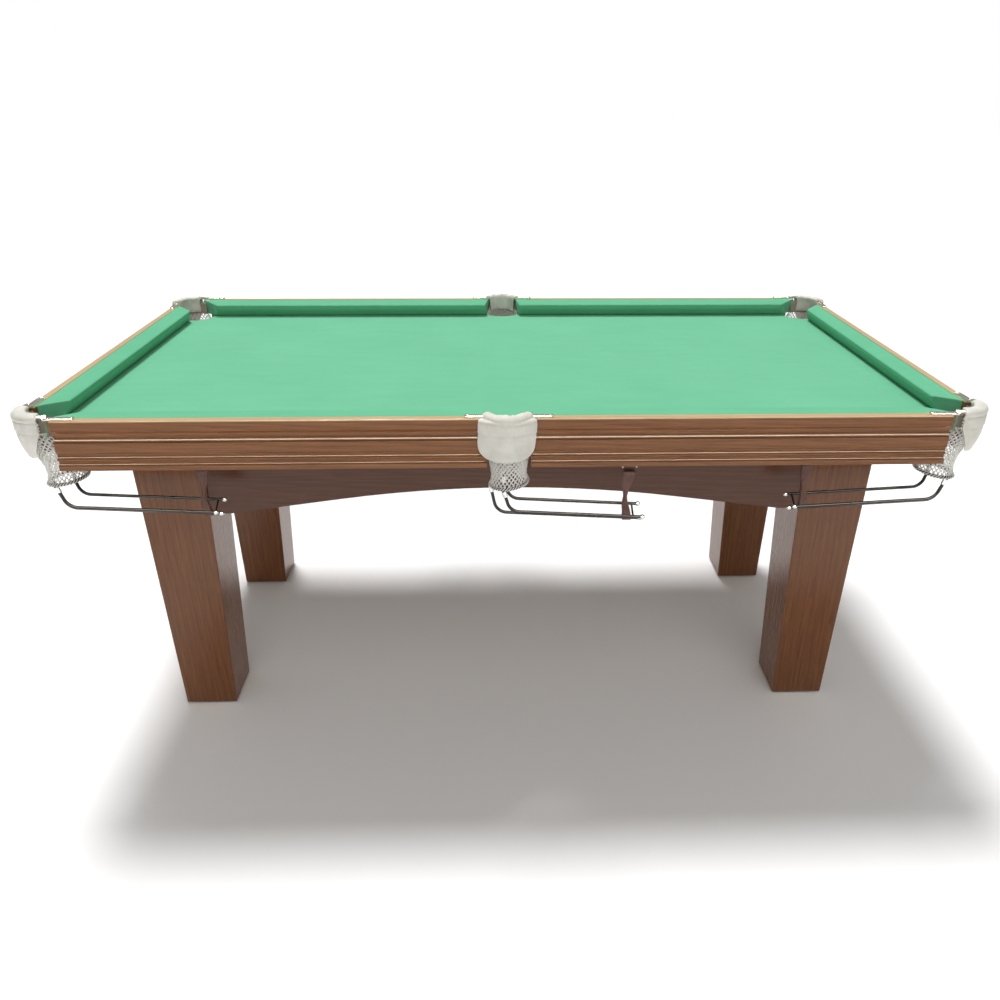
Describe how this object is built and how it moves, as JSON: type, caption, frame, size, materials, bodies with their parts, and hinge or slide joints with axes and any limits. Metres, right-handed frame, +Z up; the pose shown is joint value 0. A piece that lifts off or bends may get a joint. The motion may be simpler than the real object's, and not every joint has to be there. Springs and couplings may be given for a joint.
{
  "type": "pool table",
  "caption": "Seven-foot pool table with tapered square legs, moulded rails, net pockets with white leathers and wire ball runners under each pocket.",
  "frame": {"origin": "on the floor under the centre of the table", "axes": "+X along the table's length, +Y across it towards the back side, +Z up"},
  "size_m": [1.978, 1.104, 0.843],
  "materials": {
    "slab_board": "raw medium-density board with sanded faces and cut pocket edges",
    "bed_cloth": "napped green wool cloth, stretched tight",
    "cushion_cloth": "napped green wool cloth, drawn over the cushion",
    "rail_wood": "sawn hardwood rail",
    "cushion_rubber": "matt cushion rubber",
    "panel_wood": "oak-pattern foil on a moulded panel, satin lacquer, pale upper edge",
    "apron_wood": "reddish brown oak pattern, satin",
    "beam_wood": "planed softwood",
    "leg_wood": "reddish brown oak pattern, satin, soft edges",
    "foot_steel": "zinc plated adjusting screw and pad",
    "insert_steel": "zinc plated threaded insert",
    "iron_chrome": "polished nickel, slightly warm",
    "pocket_leather": "white leather with a pebbled flap, stitched seams and a gathered lip",
    "net_cord": "white twisted cord, knotted in diamonds",
    "rod_coating": "black vinyl coating over steel rod",
    "runner_chrome": "polished chrome",
    "strap_leather": "brown strap leather with pale raw edges",
    "hanger_steel": "folded and plated steel",
    "fastener_steel": "zinc plated"
  },
  "bodies": {
    "table": {"back_panels": "panel_wood", "bed_beams": "beam_wood", "bed_cloth": "bed_cloth", "bed_slab": "slab_board", "cushion_cloth_back_left": "cushion_cloth", "cushion_cloth_back_right": "cushion_cloth", "cushion_cloth_front_left": "cushion_cloth", "cushion_cloth_front_right": "cushion_cloth", "cushion_cloth_left_end": "cushion_cloth", "cushion_cloth_right_end": "cushion_cloth", "cushion_rails": "rail_wood", "cushion_rubbers": "cushion_rubber", "end_aprons": "apron_wood", "frame_bolts": "fastener_steel", "front_panels": "panel_wood", "left_end_panel": "panel_wood", "leg_back_left": "leg_wood", "leg_back_right": "leg_wood", "leg_front_left": "leg_wood", "leg_front_right": "leg_wood", "leveller_inserts": "insert_steel", "long_aprons": "apron_wood", "pocket_irons": "iron_chrome", "pocket_leather_back_left": "pocket_leather", "pocket_leather_back_middle": "pocket_leather", "pocket_leather_back_right": "pocket_leather", "pocket_leather_front_left": "pocket_leather", "pocket_leather_front_middle": "pocket_leather", "pocket_leather_front_right": "pocket_leather", "pocket_net_back_left": "net_cord", "pocket_net_back_middle": "net_cord", "pocket_net_back_right": "net_cord", "pocket_net_front_left": "net_cord", "pocket_net_front_middle": "net_cord", "pocket_net_front_right": "net_cord", "right_end_panel": "panel_wood", "strap_hangers": "hanger_steel", "wood_screws": "fastener_steel"},
    "runner_front_left": {"runner_rods_front_left": "rod_coating", "runner_fittings_front_left": "runner_chrome", "runner_strap_front_left": "strap_leather"},
    "runner_front_middle": {"runner_rods_front_middle": "rod_coating", "runner_fittings_front_middle": "runner_chrome", "runner_strap_front_middle": "strap_leather"},
    "runner_front_right": {"runner_rods_front_right": "rod_coating", "runner_fittings_front_right": "runner_chrome", "runner_strap_front_right": "strap_leather"},
    "runner_back_left": {"runner_rods_back_left": "rod_coating", "runner_fittings_back_left": "runner_chrome", "runner_strap_back_left": "strap_leather"},
    "runner_back_middle": {"runner_rods_back_middle": "rod_coating", "runner_fittings_back_middle": "runner_chrome", "runner_strap_back_middle": "strap_leather"},
    "runner_back_right": {"runner_rods_back_right": "rod_coating", "runner_fittings_back_right": "runner_chrome", "runner_strap_back_right": "strap_leather"},
    "foot_front_left": {"levelling_foot_front_left": "foot_steel"},
    "foot_front_right": {"levelling_foot_front_right": "foot_steel"},
    "foot_back_left": {"levelling_foot_back_left": "foot_steel"},
    "foot_back_right": {"levelling_foot_back_right": "foot_steel"}
  },
  "joints": [
    {"name": "runner_sway_front_left", "type": "hinge", "parent": "table", "child": "runner_front_left", "pos_m": [-0.642, -0.457, 0.718], "axis": [1, 0, 0], "range_deg": [-6, 6]},
    {"name": "runner_sway_front_middle", "type": "hinge", "parent": "table", "child": "runner_front_middle", "pos_m": [0.25, -0.497, 0.718], "axis": [1, 0, 0], "range_deg": [-6, 6]},
    {"name": "runner_sway_front_right", "type": "hinge", "parent": "table", "child": "runner_front_right", "pos_m": [0.642, -0.457, 0.718], "axis": [1, 0, 0], "range_deg": [-6, 6]},
    {"name": "runner_sway_back_left", "type": "hinge", "parent": "table", "child": "runner_back_left", "pos_m": [-0.642, 0.457, 0.718], "axis": [1, 0, 0], "range_deg": [-6, 6]},
    {"name": "runner_sway_back_middle", "type": "hinge", "parent": "table", "child": "runner_back_middle", "pos_m": [-0.25, 0.497, 0.718], "axis": [1, 0, 0], "range_deg": [-6, 6]},
    {"name": "runner_sway_back_right", "type": "hinge", "parent": "table", "child": "runner_back_right", "pos_m": [0.642, 0.457, 0.718], "axis": [1, 0, 0], "range_deg": [-6, 6]},
    {"name": "foot_adjust_front_left", "type": "slide", "parent": "table", "child": "foot_front_left", "axis": [0, 0, -1], "range_m": [0, 0.02]},
    {"name": "foot_adjust_front_right", "type": "slide", "parent": "table", "child": "foot_front_right", "axis": [0, 0, -1], "range_m": [0, 0.02]},
    {"name": "foot_adjust_back_left", "type": "slide", "parent": "table", "child": "foot_back_left", "axis": [0, 0, -1], "range_m": [0, 0.02]},
    {"name": "foot_adjust_back_right", "type": "slide", "parent": "table", "child": "foot_back_right", "axis": [0, 0, -1], "range_m": [0, 0.02]}
  ]
}
